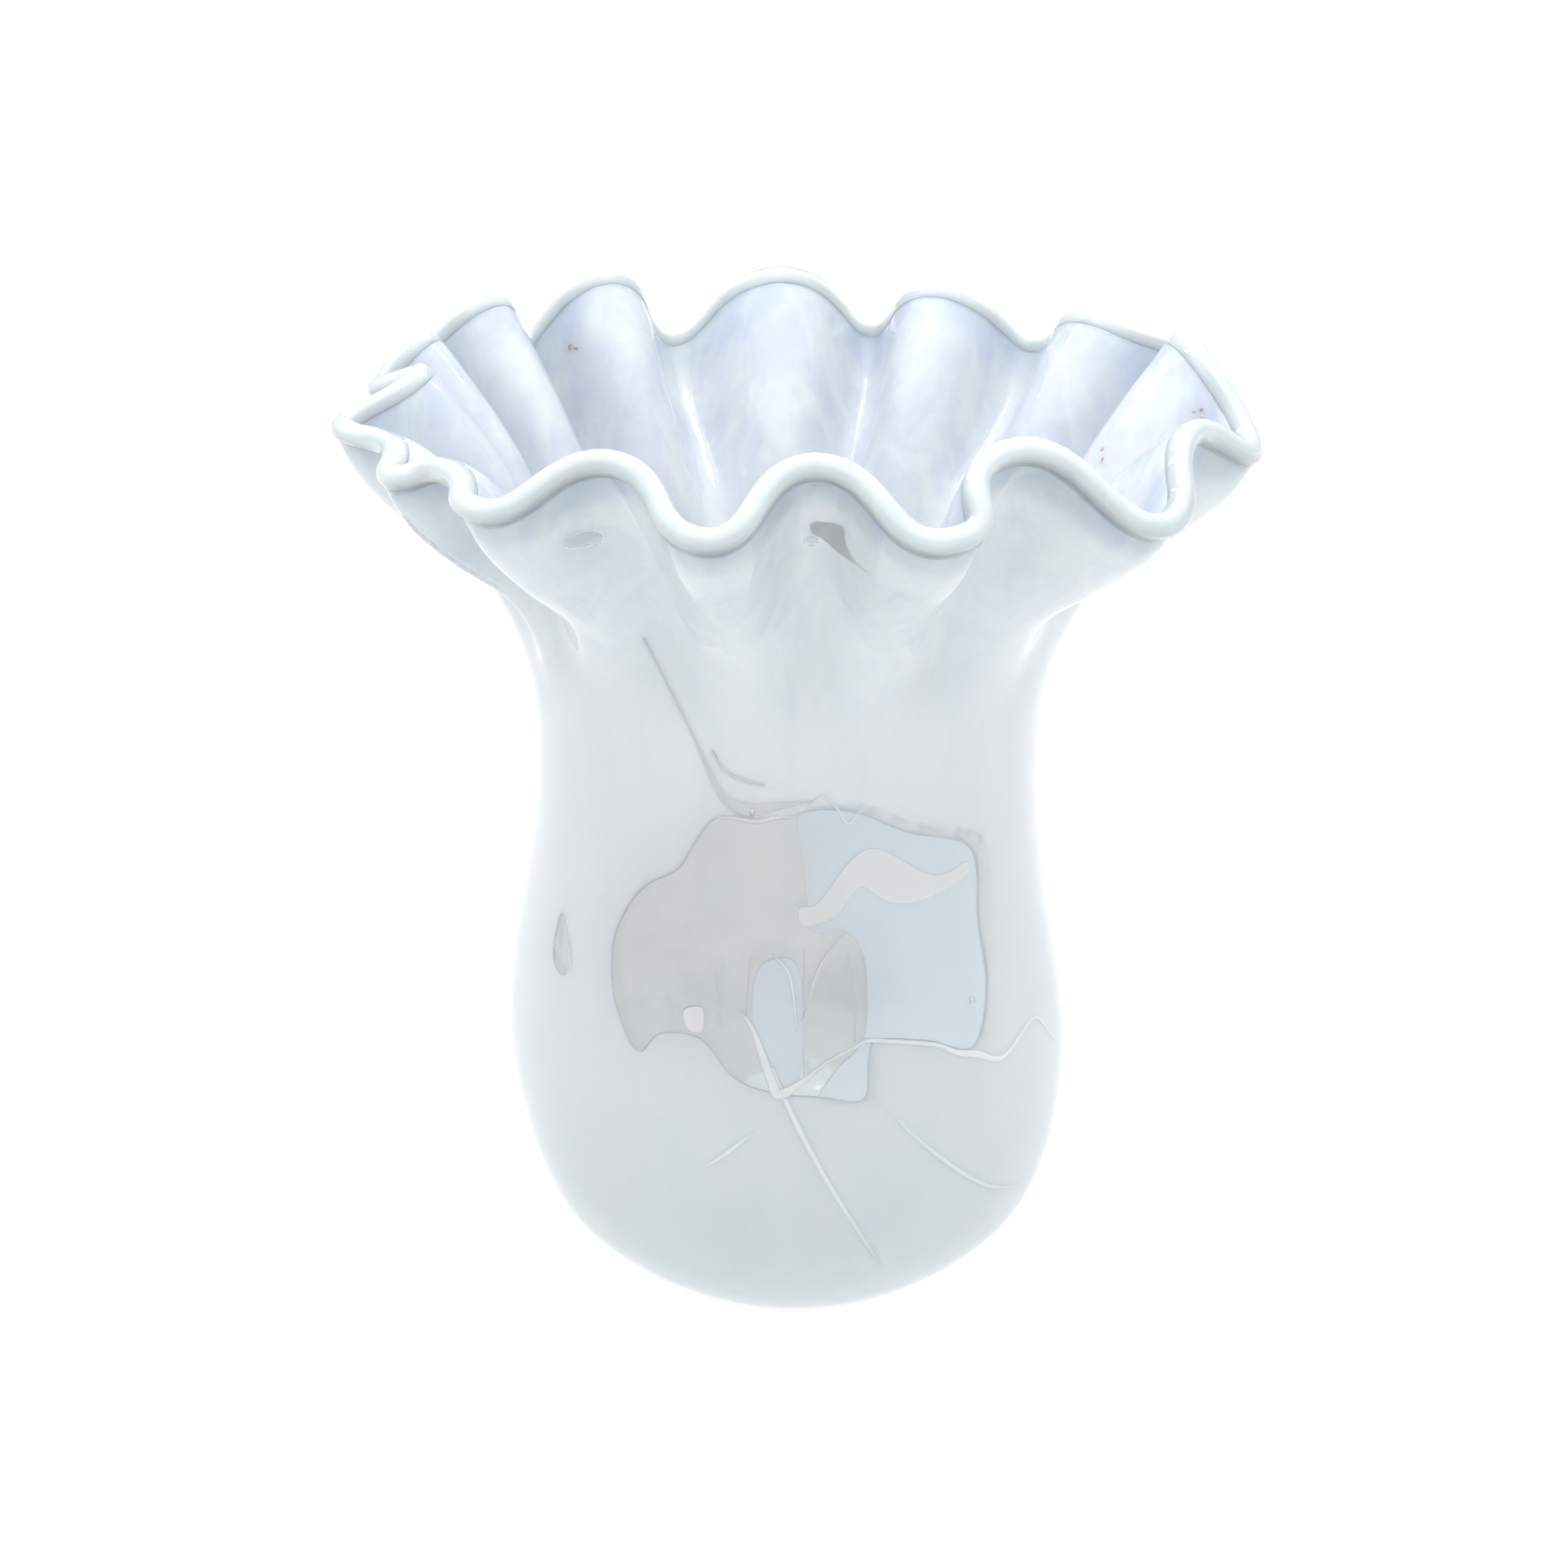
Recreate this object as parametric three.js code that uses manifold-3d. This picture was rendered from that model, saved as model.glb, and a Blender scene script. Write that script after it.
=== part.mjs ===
// A hand blown cased glass vase: round body on a ground base, crimped into deep
// flutes at the mouth. Millimetres, +Z up, origin at the centre of the resting face.
// Every glass layer is the same fluted surface taken at a different depth.
import * as THREE from 'three';
import { mergeVertices } from 'three/addons/utils/BufferGeometryUtils.js';
import Module from 'manifold-3d';

const wasm = await Module();
wasm.setup();

// ---- driving dimensions -------------------------------------------------------------

// Meridian (radius, height): base, body and neck are the same all round.
const BODY = [
  [30, 0], [38, 4.5], [47.5, 11.5], [55.4, 20], [60.6, 31.5], [63.9, 46],
  [65.3, 62], [63.7, 80], [60.3, 100], [58.1, 120], [58.4, 137], [60.2, 150],
];
// Above the neck the wall runs between a hollow (pushed out) and a crest (pulled in).
const HOLLOW = [[64, 161], [71, 171], [85, 181], [95, 189.5], [100.5, 198]];
const CREST = [[61.2, 163], [64.3, 176], [70.5, 190], [79, 203], [88.5, 215]];

// Hand-made crimps, going round from +X: azimuth of each crest and of the hollow after
// it, and the height of the wall there. Where given, crestOut and hollowOut push the
// wall outwards, and curl makes the rise after the hollow steeper.
const CRIMPS = [
  { crest: 12, top: 215, hollow: 26, low: 209, crestOut: 3, hollowOut: 3 },
  { crest: 37, top: 214, hollow: 54, low: 203.5, crestOut: 1 },
  { crest: 66, top: 216, hollow: 78.5, low: 204 },
  { crest: 92, top: 218.5, hollow: 108, low: 202 },
  { crest: 122, top: 220.5, hollow: 131, low: 205 },
  { crest: 144, top: 218.5, hollow: 152, low: 209, crestOut: 2, hollowOut: -1 },
  { crest: 160, top: 213.5, hollow: 168, low: 205, crestOut: 3, hollowOut: -2 },
  { crest: 176, top: 210.5, hollow: 187, low: 203, crestOut: -4, hollowOut: 1 },
  { crest: 200, top: 202.5, hollow: 208, low: 199, crestOut: 2, hollowOut: -3 },
  { crest: 216, top: 202.5, hollow: 230, low: 199, crestOut: 1 },
  { crest: 244.5, top: 210, hollow: 260, low: 198 },
  { crest: 272.5, top: 211, hollow: 287, low: 197, curl: 0.85 },
  { crest: 301, top: 211.5, hollow: 318, low: 194, hollowOut: 2 },
  { crest: 335.5, top: 207, hollow: 351, low: 198, crestOut: 4, hollowOut: 2 },
];
const CURL = 0.3; // how much steeper the lip is between stations than a plain wave
const LEAN = 1; // half the sideways sway of the body axis
const LEAN_PERIOD = 200;

// Depth below the outer face at which each layer starts and ends, on the wall.
const DEPTH = { opalOuter: 2.2, opalInner: 3.1, bore: 4.8 };
const FILM_DEPTH = 2.8; // the thin film runs from here to the inside of the opal
const RIBBON_DEPTH = 2.5; // the ribbon runs from the outside of the opal to here
const GAP = 0.3; // between one layer and the next
const HEEL_SCALE = 0.85; // how much deeper the layers lie under the body
const HEEL_HEIGHT = 34; // where that extra depth has died out

const LIP = { halfWidth: 2.8, stand: 0.4, low: 1, high: 3.6, sides: 12 };
const PONTIL = { radius: 13, recess: 1.5, thickness: 0.9, segments: 40 };

// Positions along the meridian, counted in its control points.
const NECK = BODY.length - 1;
const RIM = NECK + CREST.length;
const OPAL_TOP = RIM - 0.3;
const CLEAR_TOP = RIM - 0.2; // above this the two clear layers close up
const WALL_ROWS = [0, 1, 2, 3, 4, 5.5, 7, 8.5, 10, NECK, NECK + 1, NECK + 2, NECK + 2.7, NECK + 3.4];
const COLUMNS_PER_HALF_CRIMP = 4;

// ---- the fluted surface -------------------------------------------------------------

const vec2 = ([r, z]) => new THREE.Vector2(r, z);
const radians = THREE.MathUtils.degToRad;
const { lerp, smoothstep } = THREE.MathUtils;

const hollowLine = new THREE.SplineCurve([...BODY, ...HOLLOW].map(vec2));
const crestLine = new THREE.SplineCurve([...BODY, ...CREST].map(vec2));

// The lip all round as a list of stations, crest and hollow by turns.
const STATIONS = CRIMPS.flatMap((c) => [
  { azimuth: c.crest, share: 1, z: c.top, push: c.crestOut ?? 0, curl: CURL },
  { azimuth: c.hollow, share: 0, z: c.low, push: c.hollowOut ?? 0, curl: c.curl ?? CURL },
]);

function station(index) {
  const turns = Math.floor(index / STATIONS.length);
  const s = STATIONS[index - turns * STATIONS.length];
  return { ...s, azimuth: s.azimuth + 360 * turns };
}

// Meridian of a wall that is part hollow, part crest; u counts its control points.
function meridian(crestShare, u) {
  return hollowLine.getPoint(u / RIM).lerp(crestLine.getPoint(u / RIM), crestShare);
}

// Point of the outer face; place counts stations round the vase.
function outerFace(place, u) {
  const index = Math.floor(place);
  const a = station(index);
  const b = station(index + 1);
  const f = place - index;
  const reach = Math.max(0, (u - NECK) / (RIM - NECK));
  const ease = (1 - Math.cos(Math.PI * f)) / 2;
  const swing = f + (a.curl * reach * Math.sin(2 * Math.PI * f)) / (2 * Math.PI);
  const azimuth = radians(lerp(a.azimuth, b.azimuth, swing));
  const share = lerp(a.share, b.share, ease);
  const p = meridian(share, u);
  const lift = lerp(a.z, b.z, ease) - meridian(share, RIM).y;
  const radius = p.x + lerp(a.push, b.push, ease) * reach;
  const z = p.y + lift * reach ** 2;
  const lean = LEAN * (Math.cos((2 * Math.PI * z) / LEAN_PERIOD) - 1);
  return new THREE.Vector3(radius * Math.cos(azimuth) + lean, radius * Math.sin(azimuth), z);
}

// Unit directions at a point of the outer face: up the wall, and out of it.
function directions(place, u) {
  const step = 0.02;
  const round = outerFace(place + step, u).sub(outerFace(place - step, u));
  const above = Math.min(RIM, u + step);
  const below = Math.max(0, u - step);
  const up = outerFace(place, above).sub(outerFace(place, below)).normalize();
  const out = round.cross(up).normalize();
  return { up, out };
}

// Point at a depth under the outer face. All depths grow towards the thick base.
function layerPoint(place, u, depth) {
  const heel = 1 - smoothstep(meridian(0, u).y, 0, HEEL_HEIGHT);
  const sink = depth * (1 + HEEL_SCALE * heel);
  return outerFace(place, u).addScaledVector(directions(place, u).out, -sink);
}

// ---- closed meshes from rings of points ---------------------------------------------

// Strips of rings, each joined in order, merged into one closed mesh. A ring may have
// half the points of its neighbour, or one. An inward strip faces the other way, with
// the same diagonals, so that nested layers keep their distance.
function skin(strips) {
  const positions = [];
  for (const { rings, inward = false } of strips) {
    const corner = (p) => positions.push(p.x, p.y, p.z);
    const triangle = (...corners) => (inward ? corners.reverse() : corners).forEach(corner);
    for (let i = 0; i + 1 < rings.length; i += 1) {
      const [a, b] = [rings[i], rings[i + 1]];
      const n = Math.max(a.length, b.length);
      const pick = (ring, k) => ring[Math.floor((k * ring.length) / n) % ring.length];
      for (let k = 0; k < n; k += 1) {
        const [a0, a1, b0, b1] = [pick(a, k), pick(a, k + 1), pick(b, k), pick(b, k + 1)];
        if (a0 !== a1) triangle(a0, a1, b1);
        if (b0 !== b1) triangle(a0, b1, b0);
      }
    }
  }
  const geometry = new THREE.BufferGeometry();
  geometry.setAttribute('position', new THREE.Float32BufferAttribute(positions, 3));
  return mergeVertices(geometry, 1e-4);
}

const PLACES = Array.from(
  { length: STATIONS.length * COLUMNS_PER_HALF_CRIMP },
  (_, k) => k / COLUMNS_PER_HALF_CRIMP,
);
const BODY_PLACES = PLACES.filter((_, k) => k % 2 === 0);

// One glass layer: an outer face, an inner face, and the edge between them at the top.
function layer(rows, outerDepth, innerDepth) {
  const face = (depthAt) => rows.map((u) => {
    const places = u <= NECK ? BODY_PLACES : PLACES;
    return places.map((place) => layerPoint(place, u, depthAt(u)));
  });
  const pole = (ring) => [new THREE.Vector3(0, 0, ring[0].z)];
  const outer = face(outerDepth);
  const inner = face(innerDepth);
  return skin([
    { rings: [pole(outer[0]), ...outer] },
    { rings: [outer.at(-1), inner.at(-1)] },
    { rings: [pole(inner[0]), ...inner], inward: true },
  ]);
}

// The lip: an egg-shaped band standing on the top edge of the wall, closed on itself.
function lipBand() {
  const rings = [];
  for (let side = 0; side <= LIP.sides; side += 1) {
    const angle = (2 * Math.PI * side) / LIP.sides;
    const height = Math.sin(angle) > 0 ? LIP.high : LIP.low;
    const across = LIP.halfWidth * Math.cos(angle);
    const along = LIP.stand + LIP.low + height * Math.sin(angle);
    rings.push(PLACES.map((place) => {
      const { up, out } = directions(place, RIM);
      const middle = layerPoint(place, RIM, DEPTH.bore / 2);
      return middle.addScaledVector(out, across).addScaledVector(up, along);
    }));
  }
  return skin([{ rings }]);
}

// ---- booleans -----------------------------------------------------------------------

function toManifold(geometry) {
  const bare = geometry.clone();
  bare.deleteAttribute('normal');
  bare.deleteAttribute('uv');
  const merged = mergeVertices(bare, 1e-4);
  return new wasm.Manifold(new wasm.Mesh({
    numProp: 3,
    vertProperties: new Float32Array(merged.attributes.position.array),
    triVerts: new Uint32Array(merged.index.array),
  }));
}

function toGeometry(manifold) {
  const mesh = manifold.getMesh();
  const geometry = new THREE.BufferGeometry();
  geometry.setAttribute('position', new THREE.BufferAttribute(mesh.vertProperties, 3));
  geometry.setIndex(new THREE.BufferAttribute(mesh.triVerts, 1));
  return geometry;
}

// A block that pierces the wall: a smooth outline (sideways, height) seen from azimuth.
function piercer(outline, azimuth) {
  const curve = new THREE.SplineCurve([...outline, outline[0]].map(vec2));
  const shape = new THREE.Shape(curve.getPoints(outline.length * 2));
  const block = new THREE.ExtrudeGeometry(shape, { depth: 70, bevelEnabled: false });
  block.translate(0, 0, 20);
  block.rotateX(Math.PI / 2);
  block.rotateZ(radians(azimuth + 90));
  return toManifold(block);
}

// ---- outlines of the torn opal, seen from the front ---------------------------------

const FRONT = 270;
const WINDOW = [
  [-15, 130], [-21, 124], [-25, 117], [-33, 111], [-38, 101], [-39, 90], [-36, 80], [-32.5, 74],
  [-28.5, 79], [-17, 80], [-12, 75], [-7, 70], [-1.5, 65.5], [5, 69], [15, 67.5], [18, 79],
  [29, 77], [39, 73], [42, 85], [40, 100], [38, 117], [24, 124], [13, 131], [0, 131.5],
];
const RIBBON = [
  [1.5, 107], [6.5, 116.5], [15, 121], [22, 115], [30, 114], [36, 115.5],
  [36, 110.5], [27.5, 109.5], [17.5, 114], [10, 109], [2.5, 105.5],
];
const CHIP = [[-23, 86.3], [-18.8, 86.6], [-18.8, 82.2], [-23, 81.8]];
// Where the opal is thin but not torn through: right of the middle, and a wisp below.
const FILM = [
  [2, 129.5], [12, 129], [23.3, 122], [36.5, 115], [38.5, 100], [40.3, 85], [38, 75], [29, 79],
  [18.5, 81], [16, 87], [15, 97], [10, 102.5], [3, 103.5],
];
const WISP = [[-9, 84], [-8.5, 94], [-4, 98], [0.5, 95.5], [1.5, 82], [-1, 71], [-5.5, 73.5]];
const TEAR_AZIMUTH = 213.5;
const TEAR = [[-2, 99.5], [2, 93], [4, 88.5], [1, 85.3], [-3.5, 87], [-4.5, 92]];

// ---- the pieces ---------------------------------------------------------------------

const GLASS = {
  clear: { color: 0xdfe9ec, roughness: 0.04, metalness: 0, transparent: true, opacity: 0.35 },
  opal: { color: 0xe6edf2, roughness: 0.3, metalness: 0 },
};

function piece(name, geometry, glass) {
  const flat = geometry.index ? geometry.toNonIndexed() : geometry;
  flat.computeVertexNormals();
  const mesh = new THREE.Mesh(flat, new THREE.MeshStandardMaterial(glass));
  mesh.name = name;
  return mesh;
}

function outerCasing() {
  const rows = [...WALL_ROWS, OPAL_TOP, CLEAR_TOP, RIM];
  const middle = (DEPTH.opalOuter + DEPTH.opalInner) / 2;
  const inner = (u) => (u < CLEAR_TOP ? DEPTH.opalOuter : middle + GAP / 2) - GAP;
  const recess = new THREE.CylinderGeometry(
    PONTIL.radius, PONTIL.radius, 2 * PONTIL.recess, PONTIL.segments,
  );
  recess.rotateX(Math.PI / 2);
  return toGeometry(toManifold(layer(rows, () => 0, inner)).subtract(toManifold(recess)));
}

function innerGather() {
  const rows = [...WALL_ROWS, OPAL_TOP, CLEAR_TOP, RIM];
  const middle = (DEPTH.opalOuter + DEPTH.opalInner) / 2;
  const outer = (u) => (u < CLEAR_TOP ? DEPTH.opalInner : middle - GAP / 2) + GAP;
  return layer(rows, outer, () => DEPTH.bore);
}

// The whole opal sheet, or a thinner one between two depths inside it.
function opalShell(from = DEPTH.opalOuter, to = DEPTH.opalInner) {
  return toManifold(layer([...WALL_ROWS, OPAL_TOP], () => from, () => to));
}

function opalShard(sheet, outline) {
  return toGeometry(sheet.intersect(piercer(outline, FRONT)));
}

// Ground-off punty glass: a shallow lens that stays clear of the recess and the table.
function pontilSeal() {
  const radius = PONTIL.radius - GAP;
  const bottom = GAP;
  const outline = [
    [0, bottom], [radius - 1, bottom], [radius, bottom + PONTIL.thickness / 2],
    [radius - 1, bottom + PONTIL.thickness], [0, bottom + PONTIL.thickness],
  ];
  const seal = new THREE.LatheGeometry(outline.map(vec2), PONTIL.segments);
  seal.rotateX(Math.PI / 2);
  return toGeometry(toManifold(seal));
}

const shell = opalShell();
const film = opalShell(FILM_DEPTH, DEPTH.opalInner);
const strip = opalShell(DEPTH.opalOuter, RIBBON_DEPTH);
const torn = shell.subtract(piercer(WINDOW, FRONT)).subtract(piercer(TEAR, TEAR_AZIMUTH));

const group = new THREE.Group();
group.name = 'hand_blown_vase';
group.add(
  piece('outer_casing', outerCasing(), GLASS.clear),
  piece('opal_layer', toGeometry(torn), GLASS.opal),
  piece('opal_film', opalShard(film, FILM), GLASS.opal),
  piece('opal_wisp', opalShard(film, WISP), GLASS.opal),
  piece('opal_ribbon', opalShard(strip, RIBBON), GLASS.opal),
  piece('opal_chip', opalShard(shell, CHIP), GLASS.opal),
  piece('inner_gather', innerGather(), GLASS.clear),
  piece('lip_wrap', lipBand(), GLASS.clear),
  piece('pontil_seal', pontilSeal(), GLASS.clear),
);

export default group;
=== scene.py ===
"""A hand blown cased glass vase: fine glass layers, opal, bubbles, light and camera.

Every layer is the same fluted surface taken at a different depth under the outer face.
Shapes are worked out in millimetres and turned to metres when a mesh is made.
"""

import bmesh
import bpy
import numpy as np
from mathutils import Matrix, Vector

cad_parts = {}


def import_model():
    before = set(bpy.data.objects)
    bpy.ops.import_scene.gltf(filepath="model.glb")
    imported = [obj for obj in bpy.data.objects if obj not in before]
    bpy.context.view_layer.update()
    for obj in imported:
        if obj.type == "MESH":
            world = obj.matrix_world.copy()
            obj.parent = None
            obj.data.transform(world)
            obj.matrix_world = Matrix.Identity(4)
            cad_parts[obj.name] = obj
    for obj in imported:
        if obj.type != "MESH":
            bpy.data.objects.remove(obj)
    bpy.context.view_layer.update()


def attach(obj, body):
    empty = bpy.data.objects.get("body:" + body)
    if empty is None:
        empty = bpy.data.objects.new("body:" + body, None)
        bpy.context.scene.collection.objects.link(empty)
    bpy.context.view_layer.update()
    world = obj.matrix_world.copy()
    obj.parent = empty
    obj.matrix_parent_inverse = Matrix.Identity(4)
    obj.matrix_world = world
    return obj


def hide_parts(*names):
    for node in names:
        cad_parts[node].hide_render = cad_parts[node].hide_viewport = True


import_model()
MM = 0.001

# ---- driving dimensions, mm ---------------------------------------------------------

# Meridian (radius, height): base, body and neck are the same all round.
BODY = [
    (30, 0), (38, 4.5), (47.5, 11.5), (55.4, 20), (60.6, 31.5), (63.9, 46),
    (65.3, 62), (63.7, 80), (60.3, 100), (58.1, 120), (58.4, 137), (60.2, 150),
]
# Above the neck the wall runs between a hollow (pushed out) and a crest (pulled in).
HOLLOW = [(64, 161), (71, 171), (85, 181), (95, 189.5), (100.5, 198)]
CREST = [(61.2, 163), (64.3, 176), (70.5, 190), (79, 203), (88.5, 215)]

CURL = 0.3  # how much steeper the lip is between stations than a plain wave
# Crimps, going round from +X: azimuth of the crest, height of the wall there, how far it
# is pushed out; the same for the hollow after it; and the curl of the rise after that.
CRIMPS = [
    (12, 215, 3, 26, 209, 3, CURL),
    (37, 214, 1, 54, 203.5, 0, CURL),
    (66, 216, 0, 78.5, 204, 0, CURL),
    (92, 218.5, 0, 108, 202, 0, CURL),
    (122, 220.5, 0, 131, 205, 0, CURL),
    (144, 218.5, 2, 152, 209, -1, CURL),
    (160, 213.5, 3, 168, 205, -2, CURL),
    (176, 210.5, -4, 187, 203, 1, CURL),
    (200, 202.5, 2, 208, 199, -3, CURL),
    (216, 202.5, 1, 230, 199, 0, CURL),
    (244.5, 210, 0, 260, 198, 0, CURL),
    (272.5, 211, 0, 287, 197, 0, 0.85),
    (301, 211.5, 0, 318, 194, 2, CURL),
    (335.5, 207, 4, 351, 198, 2, CURL),
]
LEAN = 1  # half the sideways sway of the body axis
LEAN_PERIOD = 200

OPAL_OUTER, OPAL_INNER, BORE = 2.2, 3.1, 4.8  # depths under the outer face
FILM_OUTER, RIBBON_OUTER, RIBBON_INNER = 2.5, 2.1, 2.45
# Depths of the dark sheet that paints the shadow under the crimp at the front.
FOLD_SHADOW_OUTER, FOLD_SHADOW_INNER = 1.7, 2.0
FUSE = 0.1  # how far fused pieces run into each other
HEEL_SCALE, HEEL_HEIGHT = 0.85, 34  # the layers lie deeper under the body

# The lip: a rounded crown on the wall it is fused to, swollen on the outside only.
LIP_OUT, LIP_SHOULDER, LIP_HIGH = 2.95, 2.2, 4.6
LIP_SKIRT, LIP_PROUD = 0.3, 0.04
LIP_SKIN, CROWN_SKIN = 0.3, 0.7  # clear glass over the opal in the lip, and on its crown
PONTIL_RADIUS, PONTIL_RECESS = 13, 1.5
PONTIL_GAP, PONTIL_THICKNESS = 0.3, 0.9

NECK = len(BODY) - 1
RIM = NECK + len(CREST)
COLUMNS_PER_HALF_CRIMP = 12
BODY_ROWS_PER_POINT = 6
FLUTE_ROWS_PER_POINT = 12


# ---- the fluted surface -------------------------------------------------------------

def spline(points, u):
    """Uniform Catmull-Rom curve through the points; u counts them."""
    points = np.asarray(points, float)
    last = len(points) - 1
    i = np.clip(np.floor(u).astype(int), 0, last)
    t = (u - i)[..., None]
    before, start, end, after = (points[np.clip(i + k, 0, last)] for k in (-1, 0, 1, 2))
    v0 = (end - before) / 2
    v1 = (after - start) / 2
    cubic = 2 * start - 2 * end + v0 + v1
    square = 3 * (end - start) - 2 * v0 - v1
    return cubic * t**3 + square * t**2 + v0 * t + start


def smoothstep(x, low, high):
    t = np.clip((x - low) / (high - low), 0, 1)
    return t * t * (3 - 2 * t)


def stations():
    """The lip all round: azimuth, crest share, height, push and curl, one row each."""
    rows = []
    for crest, top, crest_out, hollow, low, hollow_out, curl in CRIMPS:
        rows.append((crest, 1, top, crest_out, CURL))
        rows.append((hollow, 0, low, hollow_out, curl))
    return np.array(rows, float)


STATIONS = stations()


def ripple(azimuth, z):
    """Hand-blown unevenness of the wall: a few slow waves, under half a millimetre."""
    return (
        0.22 * np.sin(2 * azimuth + 0.031 * z + 0.7)
        + 0.16 * np.sin(3 * azimuth - 0.052 * z + 2.1)
        + 0.10 * np.sin(7 * azimuth + 0.083 * z + 4.0)
        + 0.04 * np.sin(19 * azimuth + 0.021 * z)
    ) * smoothstep(z, 2, 25)


def outer_face(place, u):
    """Point of the outer face, mm; place counts stations round the vase."""
    place, u = np.broadcast_arrays(np.asarray(place, float), np.asarray(u, float))
    index = np.floor(place).astype(int)
    count = len(STATIONS)
    a = STATIONS[index % count].copy()
    b = STATIONS[(index + 1) % count].copy()
    a[..., 0] += 360 * (index // count)
    b[..., 0] += 360 * ((index + 1) // count)
    reach = np.maximum(0, (u - NECK) / (RIM - NECK))
    f = place - index
    ease = (1 - np.cos(np.pi * f)) / 2
    swing = f + a[..., 4] * reach * np.sin(2 * np.pi * f) / (2 * np.pi)
    azimuth = np.radians(a[..., 0] + (b[..., 0] - a[..., 0]) * swing)
    share, height, push = (a[..., k] + (b[..., k] - a[..., k]) * ease for k in (1, 2, 3))

    def meridian(at):
        hollow = spline(BODY + HOLLOW, at)
        return hollow + (spline(BODY + CREST, at) - hollow) * share[..., None]

    wall = meridian(u)
    lift = height - meridian(np.full_like(u, RIM))[..., 1]
    z = wall[..., 1] + lift * reach**2
    radius = wall[..., 0] + push * reach + ripple(azimuth, z)
    lean = LEAN * (np.cos(2 * np.pi * z / LEAN_PERIOD) - 1)
    return np.stack([radius * np.cos(azimuth) + lean, radius * np.sin(azimuth), z], -1)


def unit(v):
    return v / np.linalg.norm(v, axis=-1, keepdims=True)


def directions(place, u):
    """Unit vectors at a point of the outer face: up the wall, and out of it."""
    step = 0.02
    around = outer_face(place + step, u) - outer_face(place - step, u)
    above = outer_face(place, np.minimum(RIM, u + step))
    below = outer_face(place, np.maximum(0, u - step))
    up = unit(above - below)
    return up, unit(np.cross(around, up))


def layer_point(place, u, depth):
    """Point at a depth under the outer face; all depths grow towards the thick base."""
    place, u = np.broadcast_arrays(np.asarray(place, float), np.asarray(u, float))
    heel = 1 - smoothstep(spline(BODY + HOLLOW, u)[..., 1], 0, HEEL_HEIGHT)
    sink = depth * (1 + HEEL_SCALE * heel)
    return outer_face(place, u) - directions(place, u)[1] * sink[..., None]


# ---- meshes from rings of points ----------------------------------------------------

def ring_mesh(name, rings, material, poles=(True, True)):
    """A smooth mesh skinned over equal rings, closed by a point at each pole asked for,
    or, with no poles, closed from the last ring to the first."""
    rings = np.asarray(rings) * MM
    count, columns = rings.shape[:2]
    vertices = rings.reshape(-1, 3)
    at = np.arange(count * columns).reshape(count, columns)
    rows = at if any(poles) else np.vstack([at, at[:1]])
    low, high = rows[:-1], rows[1:]
    quads = np.stack([low, np.roll(low, -1, 1), np.roll(high, -1, 1), high], -1)
    faces = quads.reshape(-1, 4).tolist()
    for ring, corners in ((at[0], poles[0]), (at[-1][::-1], poles[1])):
        if corners:
            centre = len(vertices)
            vertices = np.vstack([vertices, vertices[ring].mean(axis=0)])
            following = np.roll(ring, -1)
            faces += [[centre, b, a] for a, b in zip(ring.tolist(), following.tolist())]
    mesh = bpy.data.meshes.new(name)
    mesh.from_pydata(vertices.tolist(), [], faces)
    mesh.validate()
    mesh.shade_smooth()
    piece = bpy.data.objects.new(name, mesh)
    bpy.context.collection.objects.link(piece)
    mesh.materials.append(material)
    return piece


def hand_in(piece, node=None):
    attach(piece, "root")
    if node:
        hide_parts(node)


PLACES = np.arange(len(STATIONS) * COLUMNS_PER_HALF_CRIMP) / COLUMNS_PER_HALF_CRIMP
WALL_ROWS = np.concatenate([
    np.linspace(0, NECK, NECK * BODY_ROWS_PER_POINT, endpoint=False),
    np.linspace(NECK, RIM, (RIM - NECK) * FLUTE_ROWS_PER_POINT + 1),
])


def wall_rings(depth, top=RIM):
    """Rings of one face of a layer. depth may change with u, and top with place."""
    share = WALL_ROWS[:, None] / RIM
    u = share * (top + np.zeros_like(PLACES))
    return layer_point(PLACES, u, depth(u) if callable(depth) else np.full_like(u, depth))


def flat_rings(pairs):
    """Level rings for a base, from (radius, height) pairs."""
    azimuth = np.arctan2(*outer_face(PLACES, 0)[:, 1::-1].T)
    return np.array([
        np.stack([r * np.cos(azimuth), r * np.sin(azimuth), np.full_like(azimuth, z)], -1)
        for r, z in pairs
    ])


# ---- materials ----------------------------------------------------------------------

MOUTH_RISE = (0.135, 0.185)  # metres up, where the mouth's colours come in
# Colours of the mouth's patches: a lavender stain, and whitish painted glints that stand in for
# highlights on the wavy inside.
MOUTH_STAIN, MOUTH_PAINTED_GLINT = (0.72, 0.76, 0.85), (0.885, 0.925, 0.945)
# Edges of the patches: of clouds in clear glass, which at the gather's mouth are painted glints,
# and of stain against painted glints in the opal.
CLOUD_AND_GLINT_EDGES, STAIN_AND_GLINT_EDGES = (0.44, 0.58), (0.38, 0.62)


def new_material(name):
    material = bpy.data.materials.new(name)
    material.use_nodes = True
    return material, material.node_tree, material.node_tree.nodes["Principled BSDF"]


def fill(tree, node, values, feeds):
    """Sets a node's inputs: values as they are, feeds from other nodes' outputs."""
    for key, value in values.items():
        node.inputs[key].default_value = value
    for key, source in feeds.items():
        tree.links.new(source, node.inputs[key])
    return node


def add_node(tree, kind, values, feeds):
    return fill(tree, tree.nodes.new("ShaderNode" + kind), values, feeds)


def object_place(tree):
    return add_node(tree, "TexCoord", {}, {}).outputs["Object"]


def drawn_up(tree, place, share):
    """Places pressed together along Z, so that what is painted there is drawn out."""
    return add_node(tree, "Mapping", {"Scale": (1, 1, share)}, {"Vector": place}).outputs["Vector"]


def noise(tree, place, **values):
    return add_node(tree, "TexNoise", values, {"Vector": place}).outputs["Fac"]


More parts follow.
